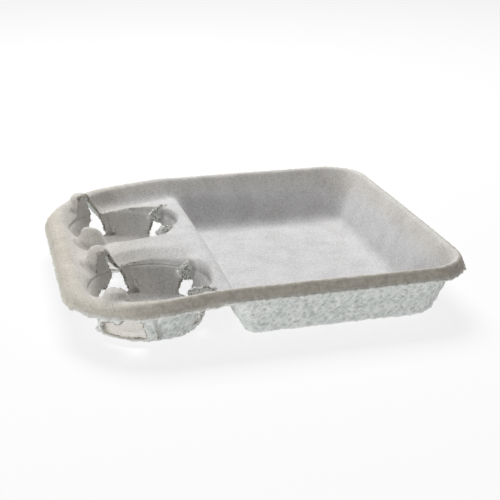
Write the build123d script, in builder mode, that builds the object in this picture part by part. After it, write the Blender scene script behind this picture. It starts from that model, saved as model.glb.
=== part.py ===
"""Moulded pulp carrier: a food tray and two cup pockets formed from one sheet.

The sheet is the space over it, grown by the wall, less that space itself,
as a forming tool and its mate leave it. A rim with a turned-down skirt,
corner slots in the pockets and torn tongues beside them finish it.
Millimetres, +Z up, +X to the tray end, origin at the middle of the base.
"""
import os
from math import atan, cos, degrees, radians, sin, tan

from build123d import *

# Sheet
wall = 2.4
overrun = 6.0

# Rim: its skirt's foot line seen from above, and its fall towards the cup end
rim_length = 244.5
rim_width = 226.0
rim_height = 39.0
rim_top = 3.6
rim_bevel = 1.4
skirt_height = 8.0
skirt_flare = 2.4
tray_corner = 32.0
cup_corner = 54.0
fold_place = -33.0
fold_radius = 120.0
cup_end_drop = 8.5

# Tray
wall_draft = 24.0
floor_round = 8.0
sole_bevel = 4.0

# Deck round the pockets, with its ridge towards the tray
ridge_place = -25.0
ridge_drop = 6.0
ridge_draft = 18.0
ridge_round = 6.0
deck_fall = 7.0
crown_round = 120.0

# Broad shoulder that slopes from the cup end's rim into the pockets
shoulder_draft = 64.0
shoulder_depth = 16.0

# Cup pockets
pocket_place = -69.0
pocket_pitch = 110.0
pocket_floor_radius = 29.0
pocket_crease_radius = 37.0
pocket_crease_height = 23.0
pocket_top_radius = 40.8
pocket_floor_bevel = 2.4
lip_round = 9.0

# Hollow posts at the cup end
post_reach = 25.5
post_spread = 35.0
post_height = 38.0
post_base_radius = 18.5
post_top_radius = 5.0
post_base_height = 14.0
post_bevel = 1.4

# Corners of the pockets: torn slots, at the cup end in a bay that is set back behind the panels
corner_floor_height = 3.0
end_turn = 126.0
ridge_turn = 37.0
end_bay_width = 36.0
ridge_slot_width = 16.0
end_bay_height = 37.0
ridge_slot_height = 29.5
bay_depth = 4.5
slot_run = 3.6
end_bay_shares = ((-0.5, 0.0), (0.52, 0.0), (0.18, 0.58), (0.05, 1.0), (-0.1, 1.0), (-0.44, 0.55))
end_slot_shares = ((-0.4, 0.0), (0.42, 0.0), (0.42, 0.16), (0.2, 0.25), (0.02, 0.22), (-0.1, 0.42),
                   (-0.12, 0.62), (-0.03, 0.93), (-0.07, 0.95), (-0.3, 0.52))
ridge_slot_shares = ((-0.38, 0.0), (0.38, 0.0), (0.26, 0.6), (0.05, 0.97), (-0.05, 0.97), (-0.26, 0.6))

# Torn tongue at each corner by the ridge
tongue_thickness = 2.0
tongue_reach = 8.5
tongue_turn = 14.0
tongue_foot = 16.0
tongue_shares = ((0.0, 0.96), (0.6, 0.8), (1.0, 0.5), (0.75, 0.2), (0.2, 0.0))

# Shares used to pick faces and edges
level_share = 0.95
touch_share = 0.01
middle_share = 0.5

# Derived
draft_slope = tan(radians(wall_draft))
ridge_slope = tan(radians(ridge_draft))
flare_slope = skirt_flare / skirt_height
flare_angle = degrees(atan(flare_slope))
end_spread = cup_end_drop * flare_slope
fall_angle = atan(cup_end_drop / (rim_length / 2 + fold_place))
fall_slope = tan(fall_angle)
pocket_side = pocket_pitch / 2
pocket_top = post_height + overrun
sky = pocket_top + overrun
corner_floor = wall + corner_floor_height
end_corners = []
ridge_corners = []
for flip in (1, -1):
    end_corners.append((flip * end_turn, end_bay_width, end_bay_height, end_slot_shares, flip))
    ridge_corners.append((flip * ridge_turn, ridge_slot_width, ridge_slot_height, ridge_slot_shares, -flip))


def on_plane(edge, plane):
    """Whether an edge's ends and middle lie on a plane."""
    spots = [plane.to_local_coords(edge @ share) for share in (0, middle_share, 1)]
    return all(abs(spot.Z) < wall * touch_share for spot in spots)


def rim_line(inset, height):
    """Rounded outline of the rim at a height, inset from the skirt's foot line."""
    with BuildSketch(Plane.XY.offset(height)) as line:
        with Locations((end_spread / 2, 0)):
            Rectangle(rim_length - end_spread - 2 * inset, rim_width - 2 * inset)
        fillet(line.vertices().group_by(Axis.X)[-1], tray_corner - inset)
        fillet(line.vertices().group_by(Axis.X)[0], cup_corner - inset)
    return line.sketch


def rim_block(skin, depth):
    """Solid under the rim's top and inside its skirt, both moved in by the skin."""
    start = rim_height + overrun
    lean = skin / cos(atan(flare_slope))
    low = rim_height - skirt_height - cup_end_drop - depth
    reach = rim_length
    top = rim_height - skin
    foot = rim_height - skirt_height - depth
    with BuildPart() as block:
        extrude(rim_line(skirt_flare + lean + overrun * flare_slope, start), amount=low - start,
                taper=-flare_angle)
        with BuildSketch(Plane.XZ) as band:
            with BuildLine():
                Polyline((fold_place - reach, top - reach * fall_slope), (fold_place, top),
                         (reach, top), (reach, foot), (fold_place, foot),
                         (fold_place - reach, foot - reach * fall_slope), close=True)
            make_face()
            fillet(band.vertices().group_by(Axis.X)[1], fold_radius)
        extrude(amount=rim_width, both=True, mode=Mode.INTERSECT)
    return block.part


def basin(skin):
    """Space inside the rim down to the tray floor, grown by the skin."""
    lean = skin / cos(radians(wall_draft))
    inset = skirt_flare + rim_top - (sky - rim_height) * draft_slope - lean
    with BuildPart() as space:
        extrude(rim_line(inset, sky), amount=wall - skin - sky, taper=wall_draft)
    return space.part


def deck(skin):
    """Solid under the crowned deck and behind its ridge, moved in by the skin."""
    half = rim_width / 2
    ridge_height = rim_height - ridge_drop
    tilted = Plane(origin=(ridge_place, 0, ridge_height - skin), x_dir=(0, 1, 0),
                   z_dir=(cos(fall_angle), 0, sin(fall_angle)))
    ridge_face = Plane(origin=(ridge_place - skin / cos(radians(ridge_draft)), 0, ridge_height),
                       z_dir=(1, 0, ridge_slope))
    with BuildPart() as block:
        with BuildSketch(tilted) as section:
            with BuildLine():
                Polyline((0, 0), (half, -deck_fall), (half, -rim_height), (-half, -rim_height),
                         (-half, -deck_fall), close=True)
            make_face()
            fillet(section.vertices().group_by(Axis.Y)[-1], crown_round - skin)
        extrude(amount=rim_length, both=True)
        split(bisect_by=ridge_face, keep=Keep.BOTTOM)
        tops = block.faces().filter_by(lambda face: face.normal_at().Z > level_share)
        fillet([edge for edge in tops.edges() if on_plane(edge, ridge_face)], ridge_round - skin)
    return block.part


def tray(skin):
    """Space over the tray and the deck, grown by the skin: rounded corners inside, bevelled ones outside."""
    with BuildPart() as space:
        add(basin(skin))
        add(deck(skin), mode=Mode.SUBTRACT)
        floor = space.faces().sort_by(Axis.Z)[0]
        behind = floor.edges().sort_by(Axis.X)[0]
        ridge_face = [face for face in space.faces() if behind in face.edges() and face != floor][0]
        sides = ridge_face.edges().sort_by(lambda edge: abs(edge.center().Y))[-2:]
        if skin:
            chamfer(floor.edges() + sides, sole_bevel)
        else:
            fillet(floor.edges() + sides, floor_round)
    return space.part


def shoulder(skin):
    """Solid under the cup end's shoulder, moved in by the skin."""
    crest = rim_height - wall
    inset = skirt_flare + rim_top - skin / cos(radians(shoulder_draft))
    with BuildPart() as block:
        with BuildSketch(Plane.XY.offset(crest - skin)):
            Rectangle(rim_length + overrun, rim_width + overrun)
        extrude(amount=-shoulder_depth)
        with BuildSketch(Plane.XY.offset(crest)) as line:
            with Locations((end_spread / 2, 0)):
                Rectangle(rim_length - end_spread - 2 * inset, rim_width - 2 * inset)
            fillet(line.vertices().group_by(Axis.X)[0], cup_corner - inset)
        extrude(amount=-shoulder_depth - skin, taper=shoulder_draft, mode=Mode.SUBTRACT)
    fold = Axis((fold_place, 0, rim_height), (0, 1, 0))
    limit = Plane(origin=(pocket_place - post_reach, 0, 0), z_dir=(1, 0, 0))
    with BuildPart() as cup_end:
        add(block.part.rotate(fold, -degrees(fall_angle)))
        split(bisect_by=limit, keep=Keep.BOTTOM)
    return cup_end.part


def pocket_plane(side, turn):
    """Upright plane through a pocket's axis, its x turned from +X about that axis."""
    return Plane(origin=(pocket_place, side, 0), x_dir=(cos(radians(turn)), sin(radians(turn)), 0),
                 z_dir=(sin(radians(turn)), -cos(radians(turn)), 0))


def pocket_axis(side):
    """Axis of a pocket."""
    return Axis((pocket_place, side, 0), (0, 0, 1))


def pocket_core(skin):
    """Space inside a cup pocket's panels, grown by the skin and carried up past the rim."""
    top = pocket_top
    with BuildPart() as core:
        with BuildSketch(pocket_plane(pocket_side, 0)) as profile:
            with BuildLine():
                Polyline((-pocket_floor_radius, wall), (pocket_floor_radius, wall),
                         (pocket_crease_radius, pocket_crease_height), (pocket_top_radius, top),
                         (-pocket_top_radius, top), (-pocket_crease_radius, pocket_crease_height),
                         close=True)
            make_face()
            if skin:
                offset(amount=skin, kind=Kind.INTERSECTION, mode=Mode.REPLACE)
            else:
                chamfer(profile.vertices().group_by(Axis.Y)[0], pocket_floor_bevel)
            with Locations((0, top / 2)):
                Rectangle(rim_width, rim_width, align=(Align.MIN, Align.CENTER), mode=Mode.INTERSECT)
        revolve(axis=pocket_axis(pocket_side))
    return core.part


def pocket_lip(skin):
    """Rounded mouth of a cup pocket, grown by the skin."""
    inner = pocket_crease_radius + skin
    lip = lip_round - skin
    start = pocket_crease_height
    with BuildPart() as mouth:
        with BuildSketch(pocket_plane(pocket_side, 0)):
            with BuildLine():
                Line((0, start), (inner, start))
                arc = CenterArc((inner + lip, start), lip, 180, -90)
                Polyline(arc @ 1, (0, start + lip), (0, start))
            make_face()
        revolve(axis=pocket_axis(pocket_side))
        add(basin(skin), mode=Mode.INTERSECT)
    return mouth.part


def corner_plane(turn, out):
    """Upright plane across a pocket's corner, square to the line from its axis."""
    across = radians(turn)
    return Plane(origin=(pocket_place + out * cos(across), pocket_side + out * sin(across), 0),
                 x_dir=(-sin(across), cos(across), 0), z_dir=(cos(across), sin(across), 0))


def corner_face(turn, out, shares, flip, width, height, skin):
    """Outline across a corner, given as shares of its width and height."""
    tall = height - corner_floor
    with BuildSketch(corner_plane(turn, out)) as face:
        with BuildLine():
            Polyline([(flip * across * width, corner_floor + up * tall) for across, up in shares],
                     close=True)
        make_face()
        if skin:
            offset(amount=skin, kind=Kind.INTERSECTION, mode=Mode.REPLACE)
    return face.sketch


def pocket_bay(skin, corner):
    """Space of a cup end corner, set back behind the panels, grown by the skin."""
    turn, width, height, _, flip = corner
    with BuildPart() as bay:
        extrude(corner_face(turn, 0, end_bay_shares, flip, width, height, skin), amount=rim_width)
        with BuildSketch(pocket_plane(pocket_side, 0)):
            with BuildLine():
                Polyline((0, 0), (pocket_floor_radius + bay_depth + skin, 0),
                         (pocket_top_radius + skin, pocket_top), (0, pocket_top), close=True)
            make_face()
        revolve(axis=pocket_axis(pocket_side), mode=Mode.INTERSECT)
    return bay.part


def pocket_slot(corner):
    """Cutter for the torn slot of one corner."""
    turn, width, height, shares, flip = corner
    inner = pocket_floor_radius - wall
    with BuildPart() as cutter:
        extrude(corner_face(turn, inner, shares, flip, width, height, 0),
                amount=pocket_top_radius + slot_run - inner)
    return cutter.part


def posts(skin):
    """Posts of one pocket, made smaller by the skin."""
    with BuildPart() as pair:
        for side in (pocket_side - post_spread, pocket_side + post_spread):
            plane = Plane(origin=(pocket_place - post_reach, side, 0), x_dir=(1, 0, 0), z_dir=(0, -1, 0))
            with BuildSketch(plane) as profile:
                with BuildLine():
                    Polyline((-post_base_radius, post_base_height), (post_base_radius, post_base_height),
                             (post_top_radius, post_height), (-post_top_radius, post_height), close=True)
                make_face()
                if skin:
                    offset(amount=-skin, kind=Kind.INTERSECTION, mode=Mode.REPLACE)
                else:
                    chamfer(profile.vertices().group_by(Axis.Y)[-1], post_bevel)
                Rectangle(rim_width, rim_width, align=(Align.MIN, Align.CENTER), mode=Mode.INTERSECT)
            revolve(axis=Axis((pocket_place - post_reach, side, 0), (0, 0, 1)))
    return pair.part


def space_over(skin):
    """All the space over the sheet, grown by the skin."""
    with BuildPart() as space:
        add(tray(skin))
        add(shoulder(skin), mode=Mode.SUBTRACT)
        for tool, mode in ((pocket_lip(skin), Mode.ADD), (posts(skin), Mode.SUBTRACT),
                           (pocket_core(skin), Mode.ADD)):
            add(tool, mode=mode)
            add(mirror(tool, about=Plane.XZ, mode=Mode.PRIVATE), mode=mode)
        for corner in end_corners:
            tool = pocket_bay(skin, corner)
            add(tool)
            add(mirror(tool, about=Plane.XZ, mode=Mode.PRIVATE))
    return space.part


def rim_top_line(skin):
    """Points of the rim's top line from the side, lowered by the skin."""
    reach = rim_length
    top = rim_height - skin
    return [(fold_place - reach, top - reach * fall_slope), (fold_place, top), (reach, top)]


def rim():
    """Rim with its rounded top and its skirt."""
    with BuildPart() as ring:
        add(rim_block(0, 0))
        add(basin(0), mode=Mode.SUBTRACT)
        tops = ring.faces().filter_by(lambda face: face.normal_at().Z > level_share)
        edges = [edge for edge in tops.edges() if sum(edge in face.edges() for face in tops) == 1]
        chamfer(edges, rim_bevel)
        add(rim_block(wall, overrun), mode=Mode.SUBTRACT)
    return ring.part


def rim_trim():
    """Space over the rim's lap, which the grown sheet doesn't reach."""
    draft = radians(wall_draft)
    lap = (wall + rim_bevel * cos(draft)) / 2
    inset = skirt_flare + rim_top + cup_end_drop * draft_slope + wall
    line = rim_top_line(lap)
    high = 2 * rim_height
    with BuildPart() as trim:
        with BuildSketch(Plane.XZ) as above:
            with BuildLine():
                Polyline(*line, (line[2][0], high), (line[0][0], high), close=True)
            make_face()
            fillet(above.vertices().sort_by(Axis.X)[2:3], fold_radius)
        extrude(amount=rim_width, both=True)
        extrude(rim_line(inset, 0), amount=high, mode=Mode.SUBTRACT)
    return trim.part


def post_tops(above):
    """Shells of the posts where they stand over the rim's lap, as far as they do."""
    with BuildPart() as shells:
        add(posts(0))
        add(posts(wall), mode=Mode.SUBTRACT)
    tops = []
    for shell in shells.solids():
        over = shell.intersect(above)
        if over:
            tops.extend(over.solids())
    return tops


def tongue(corner):
    """Torn tongue that hangs from a slot's side and leans into the pocket."""
    turn, width, height, shares, flip = corner
    plane = corner_plane(turn, pocket_crease_radius)
    lean = radians(tongue_turn)
    away = Vector(-cos(lean), flip * sin(lean), 0)
    tall = height - corner_floor

    def leg(level):
        across = flip * width * shares[2][0] * (height - level) / (tall * (1 - shares[2][1]))
        return plane.from_local_coords(Vector(across, level, 0))

    points = []
    for out, up in tongue_shares:
        points.append(leg(tongue_foot + up * (height - tongue_foot)) + away * (out * tongue_reach))
    with BuildPart() as flap:
        with BuildLine() as outline:
            Polyline(*points, leg(tongue_foot) - away * wall, leg(height) - away * wall, close=True)
        extrude(Face(outline.wire()), amount=tongue_thickness / 2, both=True)
    return flap.part


over_rim = rim_trim()
with BuildPart() as carrier:
    add(space_over(wall))
    add(over_rim, mode=Mode.SUBTRACT)
    add(rim())
    for top in post_tops(over_rim):
        add(top)
        add(mirror(top, about=Plane.XZ, mode=Mode.PRIVATE))
    add(space_over(0), mode=Mode.SUBTRACT)
    for corner in end_corners + ridge_corners:
        cutter = pocket_slot(corner)
        add(cutter, mode=Mode.SUBTRACT)
        add(mirror(cutter, about=Plane.XZ, mode=Mode.PRIVATE), mode=Mode.SUBTRACT)
    for corner in ridge_corners:
        flap = tongue(corner)
        add(flap)
        add(mirror(flap, about=Plane.XZ, mode=Mode.PRIVATE))
carrier.part.label = "carrier"

os.makedirs("parts", exist_ok=True)
export_step(carrier.part, "parts/carrier.step")
print("carrier", carrier.part.bounding_box(), "volume", carrier.part.volume)
print("solids", len(carrier.part.solids()), "faces", len(carrier.part.faces()))
print("area", carrier.part.area, "centre", carrier.part.center(CenterOf.MASS))
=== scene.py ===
# %% [markdown]
# # A moulded pulp carrier with a food tray and two cup pockets
#
# Pulp carriers are sucked onto a wire mould, pressed and dried, so the whole thing is one sheet.
# The side that met the tool is smooth and grey, and the side that dried free is rough and pale.
# The CAD solid already has every form of the sheet. This lesson gives it the skin of the real
# material: soft edges, wrinkles underneath, torn slots, loose fibres, and a finish that changes
# from side to side.

# %% Load the frame
import math

import bmesh
import bpy
from mathutils import Matrix, Vector


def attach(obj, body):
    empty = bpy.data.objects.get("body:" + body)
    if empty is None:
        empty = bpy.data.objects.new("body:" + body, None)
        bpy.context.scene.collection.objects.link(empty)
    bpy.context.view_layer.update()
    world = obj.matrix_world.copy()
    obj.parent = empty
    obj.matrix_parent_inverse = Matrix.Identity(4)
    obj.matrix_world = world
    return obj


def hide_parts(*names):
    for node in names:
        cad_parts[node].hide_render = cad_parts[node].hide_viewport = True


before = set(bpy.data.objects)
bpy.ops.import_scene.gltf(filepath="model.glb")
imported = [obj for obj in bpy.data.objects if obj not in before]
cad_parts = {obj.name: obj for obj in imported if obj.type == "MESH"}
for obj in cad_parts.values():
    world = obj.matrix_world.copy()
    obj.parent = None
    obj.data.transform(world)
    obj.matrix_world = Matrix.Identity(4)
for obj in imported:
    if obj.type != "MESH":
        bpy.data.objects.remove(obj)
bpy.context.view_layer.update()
mm = 0.001

# %% [markdown]
# ## A short way to write nodes
#
# Both the geometry and the finish are node trees with a good deal of arithmetic.
# One small class wraps a socket, so that sums can be written as in Python.
# A second one holds the tree: its method add makes any node, and the others are short forms of it.

# %% Sockets that can be added and multiplied
class Wire:
    """A socket of a node tree. Sums with it add Math nodes to its tree."""

    def __init__(self, bench, socket):
        self.bench = bench
        self.socket = socket

    def __add__(self, other):
        return self.bench.math("ADD", self, other)

    def __radd__(self, other):
        return self.bench.math("ADD", other, self)

    def __sub__(self, other):
        return self.bench.math("SUBTRACT", self, other)

    def __rsub__(self, other):
        return self.bench.math("SUBTRACT", other, self)

    def __mul__(self, other):
        return self.bench.math("MULTIPLY", self, other)

    def __rmul__(self, other):
        return self.bench.math("MULTIPLY", other, self)

    def __truediv__(self, other):
        return self.bench.math("DIVIDE", self, other)

    def __rtruediv__(self, other):
        return self.bench.math("DIVIDE", other, self)


print("sockets can be summed")

# %% A tree being built
class Bench:
    """A node tree being built."""

    def __init__(self, tree):
        self.tree = tree

    def add(self, kind, settings=None, inputs=None, out=0):
        """One output of a new node, with its settings made first, then its sockets filled."""
        node = self.tree.nodes.new(kind)
        for name, value in (settings or {}).items():
            setattr(node, name, value)
        for key, value in (inputs or {}).items():
            socket = self.find(node.inputs, key)
            if isinstance(value, Wire):
                self.tree.links.new(value.socket, socket)
            else:
                socket.default_value = value
        return Wire(self, self.find(node.outputs, out))

    def find(self, sockets, key):
        """A socket by its number, or by its name or identifier among those in use."""
        if isinstance(key, int):
            return sockets[key]
        return next(socket for socket in sockets
                    if socket.enabled and key in (socket.identifier, socket.name))

    def math(self, operation, first, second):
        return self.add("ShaderNodeMath", {"operation": operation}, {0: first, 1: second})

    def ramp(self, value, low, high, start=0.0, end=1.0):
        """Value carried smoothly from one range to another."""
        return self.add("ShaderNodeMapRange", {"interpolation_type": "SMOOTHSTEP", "clamp": True},
                        {"Value": value, "From Min": low, "From Max": high,
                         "To Min": start, "To Max": end}, "Result")

    def vector(self, operation, first, second=None, out=0):
        """Vector Math on one vector or two."""
        inputs = {0: first} if second is None else {0: first, 1: second}
        return self.add("ShaderNodeVectorMath", {"operation": operation}, inputs, out)

    def scaled(self, vector, factor):
        return self.add("ShaderNodeVectorMath", {"operation": "SCALE"},
                        {0: vector, "Scale": factor})

    def combine(self, x, y, z):
        return self.add("ShaderNodeCombineXYZ", None, {0: x, 1: y, 2: z})

    def split(self, vector):
        """The three parts of a vector."""
        node = self.add("ShaderNodeSeparateXYZ", None, {0: vector}).socket.node
        return [Wire(self, socket) for socket in node.outputs]

    def noise(self, place, size, detail=2.0, rough=0.5, distort=0.0, out="Fac"):
        return self.add("ShaderNodeTexNoise", {"noise_dimensions": "3D"},
                        {"Vector": place, "Scale": 1.0 / size, "Detail": detail,
                         "Roughness": rough, "Distortion": distort}, out)

    def cells(self, place, scale):
        """Distance to the nearest of many scattered points."""
        return self.add("ShaderNodeTexVoronoi", {"feature": "F1", "voronoi_dimensions": "3D"},
                        {"Vector": place, "Scale": scale, "Randomness": 1.0}, "Distance")

    def mix(self, factor, first, second, blend="MIX"):
        return self.add("ShaderNodeMix", {"data_type": "RGBA", "blend_type": blend},
                        {"Factor_Float": factor, "A_Color": first, "B_Color": second},
                        "Result_Color")

    def plug(self, wire, socket):
        self.tree.links.new(wire.socket, socket)


print("node helpers ready")

# %% [markdown]
# ## A short way to use a tree
#
# A Geometry Nodes tree is a rule with named sizes. Every rule here starts and ends in the same way,
# so three functions open it, close it with real geometry in a material, and put it on an object.
# A fourth turns an object with its modifiers into a plain mesh, which is what the pieces are.

# %% Rules and meshes
def open_rule(name, sizes):
    """A new tree with named sizes: its bench, its inputs as wires, and the keys of its sizes."""
    tree = bpy.data.node_groups.new(name, "GeometryNodeTree")
    sockets = tree.interface
    sockets.new_socket("Geometry", in_out="INPUT", socket_type="NodeSocketGeometry")
    keys = {}
    for size in sizes:
        socket = sockets.new_socket(size, in_out="INPUT", socket_type="NodeSocketFloat")
        keys[size] = socket.identifier
    sockets.new_socket("Geometry", in_out="OUTPUT", socket_type="NodeSocketGeometry")
    bench = Bench(tree)
    start = tree.nodes.new("NodeGroupInput")
    given = {socket.name: Wire(bench, socket) for socket in start.outputs if socket.name}
    return bench, given, keys


def close_rule(bench, geometry, material):
    """End a tree with real geometry that wears a material."""
    whole = bench.add("GeometryNodeRealizeInstances", None, {"Geometry": geometry})
    dressed = bench.add("GeometryNodeSetMaterial", None,
                        {"Geometry": whole, "Material": material})
    finish = bench.tree.nodes.new("NodeGroupOutput")
    bench.plug(dressed, finish.inputs["Geometry"])


def follow_rule(thing, tree, keys, sizes):
    """Put a tree on an object, with its sizes set."""
    rule = thing.modifiers.new(tree.name, "NODES")
    rule.node_group = tree
    for name, value in sizes.items():
        rule[keys[name]] = value


def flat_mesh(thing):
    """Plain mesh of an object with all its modifiers."""
    bpy.context.view_layer.update()
    seen = thing.evaluated_get(bpy.context.evaluated_depsgraph_get())
    return bpy.data.meshes.new_from_object(seen)


def new_object(name, data):
    """An object in the scene."""
    thing = bpy.data.objects.new(name, data)
    bpy.context.scene.collection.objects.link(thing)
    return thing


def triangles(mesh):
    return sum(len(polygon.vertices) - 2 for polygon in mesh.polygons)


print("rule helpers ready")

# %% [markdown]
# ## The sheet
#
# A mould leaves no sharp edges, and the solid has many. Rounding them one by one would take for
# ever, so a copy of the solid is cut into small even cells and relaxed a little: every edge softens
# alike, as wet pulp does.

# %% Copy the solid, merge it and soften it
merge_gap = 0.002 * mm
cell_size = 0.85 * mm
relax_share = 0.5
relax_steps = 3

soft = new_object("soft_sheet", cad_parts["carrier"].data.copy())
shell = bmesh.new()
shell.from_mesh(soft.data)
bmesh.ops.remove_doubles(shell, verts=shell.verts, dist=merge_gap)
shell.to_mesh(soft.data)
shell.free()
remesh = soft.modifiers.new("cells", "REMESH")
remesh.mode = "VOXEL"
remesh.voxel_size = cell_size
ease = soft.modifiers.new("ease", "SMOOTH")
ease.factor = relax_share
ease.iterations = relax_steps
soft_mesh = flat_mesh(soft)
bpy.data.objects.remove(soft)
print("softened sheet", len(soft_mesh.polygons), "cells")

# %% [markdown]
# ## The skin
#
# The rough side, the torn edges and the slow waves of a dried sheet all follow rules, so Geometry
# Nodes make them. The tree first works out where each point is: on the rough side, on an edge or
# in a crease, on the rim, its outside or its foot, on a torn edge, or on a torn tongue.
# Each of these is a value from 0 to 1, made by a ramp over a range that has a name.

# %% The tree of the skin
skin_sizes = {
    "Wave height": 1.1 * mm, "Wave size": 55 * mm,
    "Lump height": 1.4 * mm, "Lump size": 4.4 * mm,
    "Grain height": 0.16 * mm, "Grain size": 2.6 * mm,
    "Tear reach": 3.4 * mm, "Tear size": 3.6 * mm,
    "Rim wear": 1.7 * mm, "Crease depth": 0.5 * mm,
    "Lip roll": 3.6 * mm, "Saddle rise": 1.4 * mm,
    "Foot lip": 0.8 * mm, "Shoulder ease": 0.9,
    "Beak reach": 4.0 * mm, "Band waves": 0.8 * mm,
}
noise_middle = 0.5

bench, given, skin_keys = open_rule("pulp skin", skin_sizes)
place = bench.add("GeometryNodeInputPosition")
normal = bench.add("GeometryNodeInputNormal")
px, py, pz = bench.split(place)
signs = bench.vector("SIGN", place)
unsigned = bench.vector("ABSOLUTE", place)
print("skin inputs", skin_sizes)

# %% The rough side, edges and creases
side_slopes = (0.14, -0.14)
edge_steps, ease_steps = 10, 70
edge_bulges = (0.2 * mm, 0.5 * mm)
crease_bulges = (-0.14 * mm, -0.5 * mm)


def blurred(steps):
    """Places of the points after some steps of smoothing."""
    return bench.add("GeometryNodeBlurAttribute", {"data_type": "FLOAT_VECTOR"},
                     {"Value": place, "Iterations": steps}, "Value")


under = bench.ramp(bench.split(normal)[2], *side_slopes)
bulge = bench.vector("DOT_PRODUCT", bench.vector("SUBTRACT", place, blurred(edge_steps)),
                     normal, "Value")
edge = bench.ramp(bulge, *edge_bulges)
# Concave places, painted darker in the finish as painted shade in the creases.
crease = bench.ramp(bulge, *crease_bulges)
eased = blurred(ease_steps)
print("sides and edges marked")

# %% The rim, by the distance from a core with square corners
rim_half_x, rim_half_y = 122.25 * mm, 113.96 * mm
corner = 40 * mm
core_height = 100.0  # so tall that height never counts
core = (rim_half_x - corner, rim_half_y - corner, core_height)
tiny = 0.001 * mm
rim_reach = (corner - 13 * mm, corner - 9 * mm)
band_reach = (corner - 9 * mm, corner - 5 * mm)
band_slopes = (0.12, 0.34)
band_fray, fray_size = 0.5, 4 * mm
lit_end_fade = (-112 * mm, -55 * mm, 0.3, 1.0)

beyond = bench.vector("MAXIMUM", bench.vector("SUBTRACT", unsigned, core), (0.0, 0.0, 0.0))
reach = bench.vector("LENGTH", beyond, out="Value")
facing = bench.vector("MULTIPLY", normal, signs)
outward = bench.vector("DOT_PRODUCT", beyond, facing, "Value") / (reach + tiny)
uneven = bench.noise(place, fray_size, detail=3.0, rough=0.6) - noise_middle
# The outside of the rim: faces turned outward from the core. It carries waves, and in the finish a
# browner colour that is partly the pulp's own tone and partly painted shade.
rim_outside_and_shade = bench.ramp(reach, *band_reach) * bench.ramp(outward + uneven * band_fray, *band_slopes)
# The mark fades towards the cup end, which faces the side lamp, so that end is left paler: painted
# light.
rim_outside_and_shade = rim_outside_and_shade * bench.ramp(px, *lit_end_fade)
rim_zone = bench.ramp(reach, *rim_reach)
print("rim marked")

# %% The rim's foot and the shoulder, which follow the fall of the rim
fall_start, fall_slope = 33 * mm, 0.0952
foot_level = 31 * mm
foot_heights = (2.8 * mm, 1.2 * mm)
foot_reach = (corner - 6 * mm, corner - 3 * mm)
shoulder_x = (-88 * mm, -97 * mm)
shoulder_inner = (corner - 24 * mm, corner - 18 * mm)
shoulder_outer = (corner - 2.5 * mm, corner - 4.5 * mm)
shoulder_heights = (10 * mm, 8.4 * mm)

fallen = bench.math("MINIMUM", px + fall_start, 0.0) * fall_slope
over_foot = pz - fallen - foot_level
foot = bench.ramp(over_foot, *foot_heights) * bench.ramp(reach, *foot_reach)
shoulder = bench.ramp(px, *shoulder_x) * (1 - under) * bench.ramp(reach, *shoulder_inner)
shoulder = shoulder * bench.ramp(reach, *shoulder_outer)
shoulder = shoulder * bench.ramp(over_foot, *shoulder_heights)
print("foot and shoulder marked")

# %% The torn edges of the cup end, and its warmer tone
cup_end_x = (-24 * mm, -34 * mm)
torn_heights = (3.5 * mm, 5.5 * mm)
warm_x = (-30 * mm, -100 * mm)
warm_end, warm_rim = 0.6, 0.4

cup_end = bench.ramp(px, *cup_end_x)
torn = edge * cup_end * (1 - rim_zone) * bench.ramp(pz, *torn_heights)
warm = bench.ramp(px, *warm_x) * warm_end + rim_zone * warm_rim
print("torn edges marked")

# %% The pockets: their panels and the tongues that hang inside them
pocket_x, pocket_y = 69 * mm, 55 * mm
lower_panel, lower_slope = 28.1 * mm, 0.388
upper_panel, upper_slope = 32.8 * mm, 0.181
tongue_gaps = (0.8 * mm, 2.2 * mm)
tongue_heights = (8 * mm, 12 * mm)
tongue_tear = 0.8
beak_gaps = (1.5 * mm, 8 * mm)
turn_round = (1.0, -1.0, 0.0)  # only y: at the cup end x is negative, so its sign turns x round

ay = bench.split(unsigned)[1]
pocket_gap = bench.combine(px + pocket_x, ay - pocket_y, 0.0)
pocket_way = bench.vector("LENGTH", pocket_gap, out="Value")
panel_way = bench.math("MINIMUM", lower_panel + pz * lower_slope, upper_panel + pz * upper_slope)
tongue = bench.ramp(panel_way - pocket_way, *tongue_gaps) * bench.ramp(pz, *tongue_heights)
torn = bench.math("MAXIMUM", torn, tongue * tongue_tear)
beak = bench.ramp(panel_way - pocket_way, *beak_gaps) * tongue
to_axis = bench.vector("MULTIPLY", pocket_gap, signs)
to_axis = bench.vector("MULTIPLY", to_axis, turn_round)
print("pockets marked")

# %% The crease round the pockets, their lips and the saddle between them
fold_level = 23 * mm
fold_widths = (1.1 * mm * mm, 0.1 * mm * mm)
fold_way = (40.5 * mm, 39 * mm)
inner_turns = (0.5, 0.85)
deck_heights = (21 * mm, 27 * mm)
lip_way = (48.5 * mm, 38.5 * mm)
saddle_y = (24 * mm, 6 * mm)
saddle_front, saddle_back = (-38 * mm, -60 * mm), (-92 * mm, -80 * mm)

level_gap = pz - fold_level
fold = bench.ramp(level_gap * level_gap, *fold_widths) * (1 - under)
fold = fold * bench.ramp(pocket_way, *fold_way) * (1 - tongue)
inner_side = bench.ramp((pocket_y - ay) / pocket_way, *inner_turns)
deck_zone = bench.ramp(pz, *deck_heights)
lip = bench.ramp(pocket_way, *lip_way) * inner_side * deck_zone * (1 - tongue)
saddle = bench.ramp(ay, *saddle_y) * deck_zone * bench.ramp(px, *saddle_front)
saddle = saddle * bench.ramp(px, *saddle_back)
print("lips and saddle marked")
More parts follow.
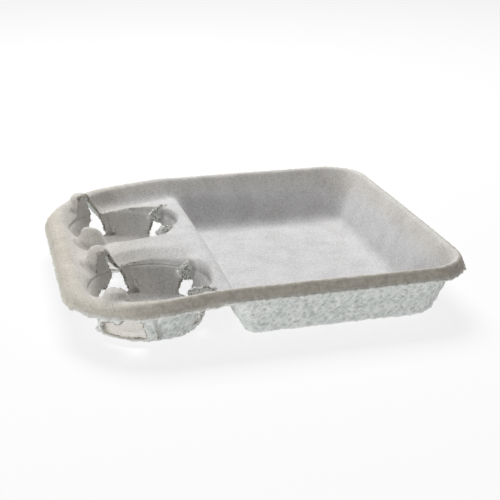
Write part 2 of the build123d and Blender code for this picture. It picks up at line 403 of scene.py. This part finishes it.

# %% [markdown]
# ## Moving the points
#
# Pulp dries into small slanting folds, so the noise that wrinkles the back is squeezed along a
# slant, and cells with flat sides are mixed into it. The hollows between the folds are kept as a
# mark, to be painted darker as painted shade. Torn edges are pulled about in all directions, and
# the tongues are drawn towards the middle of their pocket, which makes beaks of them.

# %% How far each point rises along its normal
slant = (0.55, 0.7, 1.35)
bend_size, bend_reach = 6 * mm, 5 * mm
facet_scale = 1.15
lump_share = 0.7
facet_share, facet_middle = 0.9, 0.45
hollow_shade_depths = (0.0, -0.26)
under_lumps, under_grain = 1.6, 2.2
dent_size, dent_middle = 2.6 * mm, 0.55
crest_heights = (4 * mm, 6 * mm)
foot_share, foot_dents = 0.7, 2.5

round_way = px + py
squeezed = bench.combine((round_way + pz) * slant[0], (px - py) * slant[1],
                         (pz - round_way) * slant[2])
bend = bench.noise(place, bend_size, out="Color")
bent = bench.vector("ADD", squeezed, bench.scaled(bend, bend_reach))
facets = bench.cells(bent, facet_scale / given["Lump size"])
lumps = bench.noise(squeezed, given["Lump size"], detail=4.0, rough=0.62, distort=0.6)
lumps = (lumps - noise_middle) * lump_share + (facets - facet_middle) * facet_share
# Low places between the folds of the back: a mark for painted shade in those hollows.
hollow_shade = bench.ramp(lumps, *hollow_shade_depths) * under
grain = bench.noise(place, given["Grain size"], detail=3.0, rough=0.6) - noise_middle
rise = lumps * given["Lump height"] * under * under_lumps
rise = rise + grain * given["Grain height"] * (1 + under_grain * under)
dents = bench.noise(place, dent_size, detail=3.0, rough=0.65) - dent_middle
crest = edge * rim_zone * bench.ramp(over_foot, *crest_heights)
rise = rise + dents * given["Rim wear"] * crest - fold * given["Crease depth"]
rise = rise + foot * given["Foot lip"] * (foot_share + foot_dents * dents)
rise = rise + rim_outside_and_shade * uneven * given["Band waves"]
print("rise worked out")

# %% How far each point is moved in all
rag_middle = (0.52, 0.52, 0.55)  # over the noise's middle, so that torn edges sag
tongue_rag = 0.7

wave = bench.noise(place, given["Wave size"], detail=1.0, rough=0.4, out="Color")
wave = bench.scaled(bench.vector("SUBTRACT", wave, (noise_middle,) * 3), given["Wave height"])
rag = bench.noise(place, given["Tear size"], detail=4.0, rough=0.7, distort=0.8, out="Color")
rag = bench.scaled(bench.vector("SUBTRACT", rag, rag_middle),
                   given["Tear reach"] * torn * (1 + tongue * tongue_rag))
drawn = bench.scaled(to_axis, beak * given["Beak reach"] / pocket_way)
rolled = bench.combine(0.0, 0.0, saddle * given["Saddle rise"] - lip * given["Lip roll"])
slumped = bench.scaled(bench.vector("SUBTRACT", eased, place), shoulder * given["Shoulder ease"])
moved = bench.vector("ADD", wave, rag)
for step in (bench.scaled(normal, rise), drawn, rolled, slumped):
    moved = bench.vector("ADD", moved, step)
print("moves worked out")

# %% Keep the marks, move the points and set the sheet down on its floor
lowest = 0.02 * mm

marks = {"under": under, "torn": torn, "rim_outside_and_shade": rim_outside_and_shade, "worn": edge, "crease": crease,
         "warm": warm, "foot": foot, "hollow_shade": hollow_shade, "tongue": tongue}
marked = given["Geometry"]
for name, value in marks.items():
    marked = bench.add("GeometryNodeStoreNamedAttribute", {"data_type": "FLOAT", "domain": "POINT"},
                       {"Geometry": marked, "Name": name, "Value": value}, "Geometry")
shaped = bench.add("GeometryNodeSetPosition", None, {"Geometry": marked, "Offset": moved})
level = bench.combine(px, py, bench.math("MAXIMUM", pz, lowest))
landed = bench.add("GeometryNodeSetPosition", None, {"Geometry": shaped, "Position": level})
pulp = bpy.data.materials.new("moulded_pulp")
close_rule(bench, landed, pulp)
print("skin tree", len(bench.tree.nodes), "nodes")

# %% Skin the sheet
most_triangles = 190000

sheet = new_object("pulp_sheet", soft_mesh)
follow_rule(sheet, bench.tree, skin_keys, skin_sizes)
thin = sheet.modifiers.new("thin", "DECIMATE")
thin.ratio = min(1.0, most_triangles / triangles(soft_mesh))
skinned = flat_mesh(sheet)
sheet.modifiers.clear()
sheet.data = skinned
for polygon in skinned.polygons:
    polygon.use_smooth = True
print("skinned sheet", triangles(skinned), "triangles")

# %% [markdown]
# ## Loose fibres
#
# Torn pulp shows its fibres. They are short bent strands scattered where the torn mark is strong,
# each turned its own way, so one strand and one scatter make them all.

# %% A strand
tuft_sizes = {"Strand length": 1.7 * mm, "Strand radius": 0.08 * mm,
              "Strands per square metre": 520000.0}
strand_cuts, strand_sides = 4, 3
root, middle, tip = (0.0, -0.2), (0.1, 0.4), (0.7, 0.6)

bench, given, tuft_keys = open_rule("torn fibres", tuft_sizes)


def along(shares):
    """A point of the strand, given in shares of its length."""
    length = given["Strand length"]
    return bench.combine(length * shares[0], 0.0, length * shares[1])


bow = bench.add("GeometryNodeCurveQuadraticBezier", None,
                {"Resolution": strand_cuts, "Start": along(root), "Middle": along(middle),
                 "End": along(tip)})
ring = bench.add("GeometryNodeCurvePrimitiveCircle", None,
                 {"Resolution": strand_sides, "Radius": given["Strand radius"]})
strand = bench.add("GeometryNodeCurveToMesh", None,
                   {"Curve": bow, "Profile Curve": ring, "Fill Caps": True})
print("strand inputs", tuft_sizes)

# %% The scatter
torn_enough = (0.55, 0.95)
most_turn = (0.9, 0.9, 3.14)
least_size, most_size = 0.4, 1.25
place_seed, turn_seed, size_seed = 11, 5, 7

torn_mark = bench.add("GeometryNodeInputNamedAttribute", {"data_type": "FLOAT"},
                      {"Name": "torn"}, "Attribute")
often = bench.ramp(torn_mark, *torn_enough) * given["Strands per square metre"]
spots = bench.add("GeometryNodeDistributePointsOnFaces", {"distribute_method": "RANDOM"},
                  {"Mesh": given["Geometry"], "Density": often, "Seed": place_seed}, "Points")
upright = Wire(bench, spots.socket.node.outputs["Rotation"])
spin = bench.add("FunctionNodeRandomValue", {"data_type": "FLOAT_VECTOR"},
                 {"Min": tuple(-turn for turn in most_turn), "Max": most_turn,
                  "Seed": turn_seed}, "Value")
spin = bench.add("FunctionNodeEulerToRotation", None, {0: spin})
spun = bench.add("FunctionNodeRotateRotation", {"rotation_space": "LOCAL"},
                 {"Rotation": upright, "Rotate By": spin})
size = bench.add("FunctionNodeRandomValue", {"data_type": "FLOAT"},
                 {"Min": least_size, "Max": most_size, "Seed": size_seed}, "Value")
laid = bench.add("GeometryNodeInstanceOnPoints", None,
                 {"Points": spots, "Instance": strand, "Rotation": spun, "Scale": size})
fluff = bpy.data.materials.new("torn_fibre")
close_rule(bench, laid, fluff)

fibres = new_object("torn_fibres", skinned.copy())
follow_rule(fibres, bench.tree, tuft_keys, tuft_sizes)
strands = flat_mesh(fibres)
fibres.modifiers.clear()
fibres.data = strands
print("fibres", triangles(strands), "triangles")

# %% [markdown]
# ## The finish
#
# Pulp is matt and nearly even in colour, and what makes it read as pulp is small: cloudy patches
# where the fibres lie thicker, a fine felt of fibres, a few dark specks, and a pale rough back with
# grey-green pits. Painted shade is laid into the hollows of the back, into creases, onto torn edges
# and into the cracks in them; the outside of the rim is browner and carries painted shade too, and
# edges are paler with wear and a painted highlight. The marks that the skin kept say where each of
# these belongs, and noise on Object coordinates breaks them up.

# %% Colours as a painter would name them
def tone(red, green, blue):
    """Linear colour from the usual 0 to 255 values."""
    def linear(value):
        value = value / 255
        return value / 12.92 if value <= 0.04045 else ((value + 0.055) / 1.055) ** 2.4
    return (linear(red), linear(green), linear(blue), 1.0)


smooth_grey = tone(223, 222, 222)
shade_grey = tone(190, 189, 189)
warm_light = tone(219, 214, 203)
warm_shade = tone(184, 178, 166)
# Browns for the outside of the rim: the pulp's own taupe, darkened as painted shade.
rim_taupe_and_shade = tone(188, 182, 170)
rim_brown_and_shade = tone(163, 157, 145)
back_pale = tone(242, 244, 242)
back_grey = tone(230, 234, 231)
# Grey-green for the pits of the back and for painted shade in its hollows.
pit_and_shade_grey = tone(184, 191, 185)
torn_cream = tone(226, 222, 212)
# A darker grey for torn edges: painted shade on the cut edge of the sheet.
torn_edge_shade = tone(178, 172, 162)
# A dark taupe for painted shade in creases and in the cracks of torn edges.
crease_and_crack_shade = tone(112, 106, 96)
speck_brown = tone(122, 112, 100)
print("finish colours set")

# %% An empty finish, and the marks of the skin
def open_finish(material, specular):
    """A material cleared down to its shader: a bench for its nodes, the shader, and the place."""
    material.use_nodes = True
    tree = material.node_tree
    tree.nodes.clear()
    surface = tree.nodes.new("ShaderNodeBsdfPrincipled")
    surface.inputs["Specular IOR Level"].default_value = specular
    output = tree.nodes.new("ShaderNodeOutputMaterial")
    tree.links.new(surface.outputs[0], output.inputs[0])
    bench = Bench(tree)
    return bench, surface, bench.add("ShaderNodeTexCoord", None, None, "Object")


def mark(name):
    """A mark that the skin kept on the mesh."""
    return bench.add("ShaderNodeAttribute",
                     {"attribute_name": name, "attribute_type": "GEOMETRY"}, None, "Fac")


pulp_specular = 0.25
bench, surface, spot = open_finish(pulp, pulp_specular)
back, tear, rim, worn, crease_shade, warmth, lip_foot, hollow_shade_mark, flap = [mark(name) for name in marks]
print("marks read", list(marks))

# %% The smooth face, and the outside of the rim: browner, and darker with painted shade
cloud_size, cloud_share = 17 * mm, 0.25
felt_size, felt_share = 1.3 * mm, 0.75
thick_range = (0.34, 0.62)
scuff_size, scuff_range = 3.4 * mm, (0.36, 0.64)
rim_strength, rim_foot_fade = 0.88, 0.55

cloud = bench.noise(spot, cloud_size, detail=3.0, rough=0.5)
felt = bench.noise(spot, felt_size, detail=4.0, rough=0.7, distort=1.4)
thick = bench.ramp(cloud * cloud_share + felt * felt_share, *thick_range)
inside = bench.mix(warmth, bench.mix(thick, shade_grey, smooth_grey),
                   bench.mix(thick, warm_shade, warm_light))
# The outside of the rim is painted browner and darker: partly its own tone, partly painted shade on
# faces turned from the broad lamp.
scuff = bench.noise(spot, scuff_size, detail=5.0, rough=0.7, distort=0.6)
scuffed_rim_and_shade = bench.mix(bench.ramp(scuff, *scuff_range), rim_brown_and_shade, rim_taupe_and_shade)
inside = bench.mix(rim * (1 - lip_foot * rim_foot_fade) * rim_strength, inside, scuffed_rim_and_shade)
print("smooth face painted")

# %% The rough back, with grey-green pits and painted shade in its hollows
patch_size, patch_range = 7 * mm, (0.36, 0.64)
pit_size, pit_range = 2.6 * mm, (0.5, 0.34)
pit_strength, hollow_shade_strength = 0.3, 0.6

patch = bench.noise(spot, patch_size, detail=4.0, rough=0.62, distort=0.5)
pit = bench.noise(spot, pit_size, detail=5.0, rough=0.66, distort=1.0)
outside = bench.mix(bench.ramp(patch, *patch_range), back_grey, back_pale)
# Grey-green where the bump is low: partly the pulp's own dark pits, partly painted shade in the
# hollows of the bump and between the folds.
pits_and_shade = bench.ramp(pit, *pit_range) * pit_strength + hollow_shade_mark * hollow_shade_strength
outside = bench.mix(pits_and_shade, outside, pit_and_shade_grey)
body = bench.mix(back, inside, outside)
print("rough back painted")

# %% Painted shade in creases, on torn edges and in their cracks, and edges paler with wear and a painted highlight
crease_shade_strength, worn_and_highlight_strength, foot_strength = 0.45, 0.35, 0.3
tear_range, tear_strength = (0.2, 0.8), 0.8
crack_tears, crack_shade_strength = (0.3, 0.8), 0.85
vein_size, vein_middle, vein_widths = 4.2 * mm, 0.48, (0.0016, 0.0002)

# Creases on the smooth face are darkened: painted shade.
body = bench.mix(crease_shade * (1 - back) * crease_shade_strength, body, crease_and_crack_shade)
# Convex edges off the rim are paler: partly worn fibres, partly a painted highlight along the
# edges.
body = bench.mix(worn * (1 - rim) * worn_and_highlight_strength, body, torn_cream)
body = bench.mix(lip_foot * foot_strength, body, torn_cream)
# Torn edges take a darker grey, painted shade on the cut edge of the sheet; the tongues take the
# pale colour of the back.
body = bench.mix(bench.ramp(tear, *tear_range) * tear_strength, body,
                 bench.mix(flap, torn_edge_shade, back_pale))
# Dark veins in the torn parts: painted shade in the crevices of the tear.
vein = bench.noise(spot, vein_size, detail=2.0, rough=0.55, distort=1.2) - vein_middle
crack_shade = bench.ramp(vein * vein, *vein_widths)
body = bench.mix(bench.ramp(tear, *crack_tears) * crack_shade * crack_shade_strength, body, crease_and_crack_shade)
print("creases and tears painted")

# %% Specks, the felt of fibres, and the bump
speck_gap, speck_radii, speck_strength = 4.5 * mm, (0.11, 0.05), 0.5
rare_size, rare_range = 9 * mm, (0.56, 0.62)
fine_size, fine_share, fibre_share = 0.5 * mm, 0.6, 0.4
light_range = (0.3, 0.7, 0.93, 1.05)
bump_strength, bump_depth = 0.75, 0.4 * mm
felt_bump, fine_bump, pit_bump = 0.6, 0.4, 4.0
least_rough, felt_rough = 0.86, 0.1

rare = bench.ramp(bench.noise(spot, rare_size, detail=1.0), *rare_range)
speck = bench.ramp(bench.cells(spot, 1 / speck_gap), *speck_radii) * rare * speck_strength
body = bench.mix(speck, body, speck_brown)
fine = bench.noise(spot, fine_size, detail=2.0, rough=0.6)
grey = bench.ramp(fine * fine_share + felt * fibre_share, *light_range)
lit = bench.add("ShaderNodeCombineColor", {"mode": "RGB"}, {0: grey, 1: grey, 2: grey})
body = bench.mix(1.0, body, lit, "MULTIPLY")
height = felt * felt_bump + fine * fine_bump + back * pit * pit_bump
bump = bench.add("ShaderNodeBump", None,
                 {"Strength": bump_strength, "Distance": bump_depth, "Height": height}, "Normal")
bench.plug(body, surface.inputs["Base Color"])
bench.plug(least_rough + felt_rough * felt, surface.inputs["Roughness"])
bench.plug(bump, surface.inputs["Normal"])
print("pulp finish", len(bench.tree.nodes), "nodes")

# %% The loose fibres
fibre_specular = 0.2
lock_size, lock_range = 1.2 * mm, (0.35, 0.65)
least_rough, lock_rough = 0.82, 0.12

bench, surface, spot = open_finish(fluff, fibre_specular)
lock = bench.noise(spot, lock_size, detail=2.0)
shade = bench.mix(bench.ramp(lock, *lock_range), back_grey, torn_cream)
bench.plug(shade, surface.inputs["Base Color"])
bench.plug(least_rough + lock_rough * lock, surface.inputs["Roughness"])
print("fibre finish", len(bench.tree.nodes), "nodes")

# %% [markdown]
# ## What rides on what
#
# The carrier is one piece, so the sheet and its fibres ride on the one body, and the sheet stands
# for the solid.

# %% Join the frame
for piece in (sheet, fibres):
    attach(piece, "root")
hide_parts("carrier")
print("pieces ride on the root body")

# %% [markdown]
# ## Stage, light and camera
#
# The carrier stands on a white sweep under one broad soft lamp from above and a little behind, so
# that faces towards the camera stay in gentle shade. A weak low lamp at the cup end brings out the
# rough skin. The floor glows a little, as a light table does, because the rough underside is only
# seen by light from below. The camera was worked out from the rim's outline.

# %% Floor
white = (1.0, 1.0, 1.0, 1.0)
paper_white = (0.94, 0.94, 0.94, 1.0)
sweep_size, sweep_drop = 60.0, 0.2 * mm
floor_glow, seen_glow = 0.64, 0.16


def open_stage(data):
    """A bench on the emptied node tree of a stage material or of the world."""
    data.use_nodes = True
    data.node_tree.nodes.clear()
    return Bench(data.node_tree)


def close_stage(bench, kind, shader):
    """End a stage tree with its output."""
    ending = bench.tree.nodes.new(kind)
    bench.plug(shader, ending.inputs["Surface"])


def seen_rays(bench):
    """Rays that show the background: the camera's, and those that gloss or glass sends on."""
    rays = bench.add("ShaderNodeLightPath", None, None, "Is Camera Ray")
    node = rays.socket.node
    for name in ("Is Glossy Ray", "Is Transmission Ray"):
        rays = bench.math("MAXIMUM", rays, Wire(bench, node.outputs[name]))
    return rays


bpy.ops.mesh.primitive_plane_add(size=sweep_size, location=(0.0, 0.0, -sweep_drop))
floor = bpy.context.object
floor.name = "floor"
paper = bpy.data.materials.new("white_sweep")
bench = open_stage(paper)
matt = bench.add("ShaderNodeBsdfDiffuse", None, {"Color": paper_white})
glow = bench.add("ShaderNodeEmission", None, {"Color": white, "Strength": 1.0})
shown = bench.add("ShaderNodeMixShader", None,
                  {0: floor_glow + seen_rays(bench) * seen_glow, 1: matt, 2: glow})
close_stage(bench, "ShaderNodeOutputMaterial", shown)
floor.data.materials.append(paper)
print("floor laid")

# %% Light
sky_light, sky_seen = 0.2, 1.0
middle_point = (0.0, 0.0, 0.0)

world = bpy.data.worlds.new("studio")
bpy.context.scene.world = world
bench = open_stage(world)
dim = bench.add("ShaderNodeBackground", None, {"Color": white, "Strength": sky_light})
bright = bench.add("ShaderNodeBackground", None, {"Color": white, "Strength": sky_seen})
sky = bench.add("ShaderNodeMixShader", None, {0: seen_rays(bench), 1: dim, 2: bright})
close_stage(bench, "ShaderNodeOutputWorld", sky)


def lamp(name, where, towards, size, power):
    """A square soft lamp."""
    light = bpy.data.lights.new(name, "AREA")
    light.shape = "SQUARE"
    light.size = size
    light.energy = power
    thing = new_object(name, light)
    thing.location = where
    aim = Vector(towards) - Vector(where)
    thing.rotation_euler = aim.to_track_quat("-Z", "Y").to_euler()


lamp("broad_lamp", where=(-0.02, 0.62, 1.2), towards=middle_point, size=0.8, power=17.8)
lamp("side_lamp", where=(-0.98, -0.6, 0.14), towards=middle_point, size=0.2, power=3.4)
bpy.context.scene.view_settings.view_transform = "Standard"
print("lit")

# %% Camera
azimuth = math.radians(14.70)
down = math.radians(20.90)
camera_place = Vector((-161.13, -645.92, 273.12)) * mm
sensor, far_clip = 36.0, 50.0
focal_pixels, frame_pixels = 1064.43, 500.0

right = Vector((math.cos(azimuth), -math.sin(azimuth), 0.0))
ahead = Vector((math.sin(azimuth) * math.cos(down), math.cos(azimuth) * math.cos(down),
                -math.sin(down)))
up = right.cross(ahead)
lens = bpy.data.cameras.new("photo_camera")
lens.sensor_width = sensor
lens.lens = focal_pixels * sensor / frame_pixels
lens.clip_end = far_clip
camera = new_object("photo_camera", lens)
stand = Matrix((right, up, -ahead)).transposed().to_4x4()
stand.translation = camera_place
camera.matrix_world = stand
bpy.context.scene.camera = camera
print("camera at", list(stand.translation))
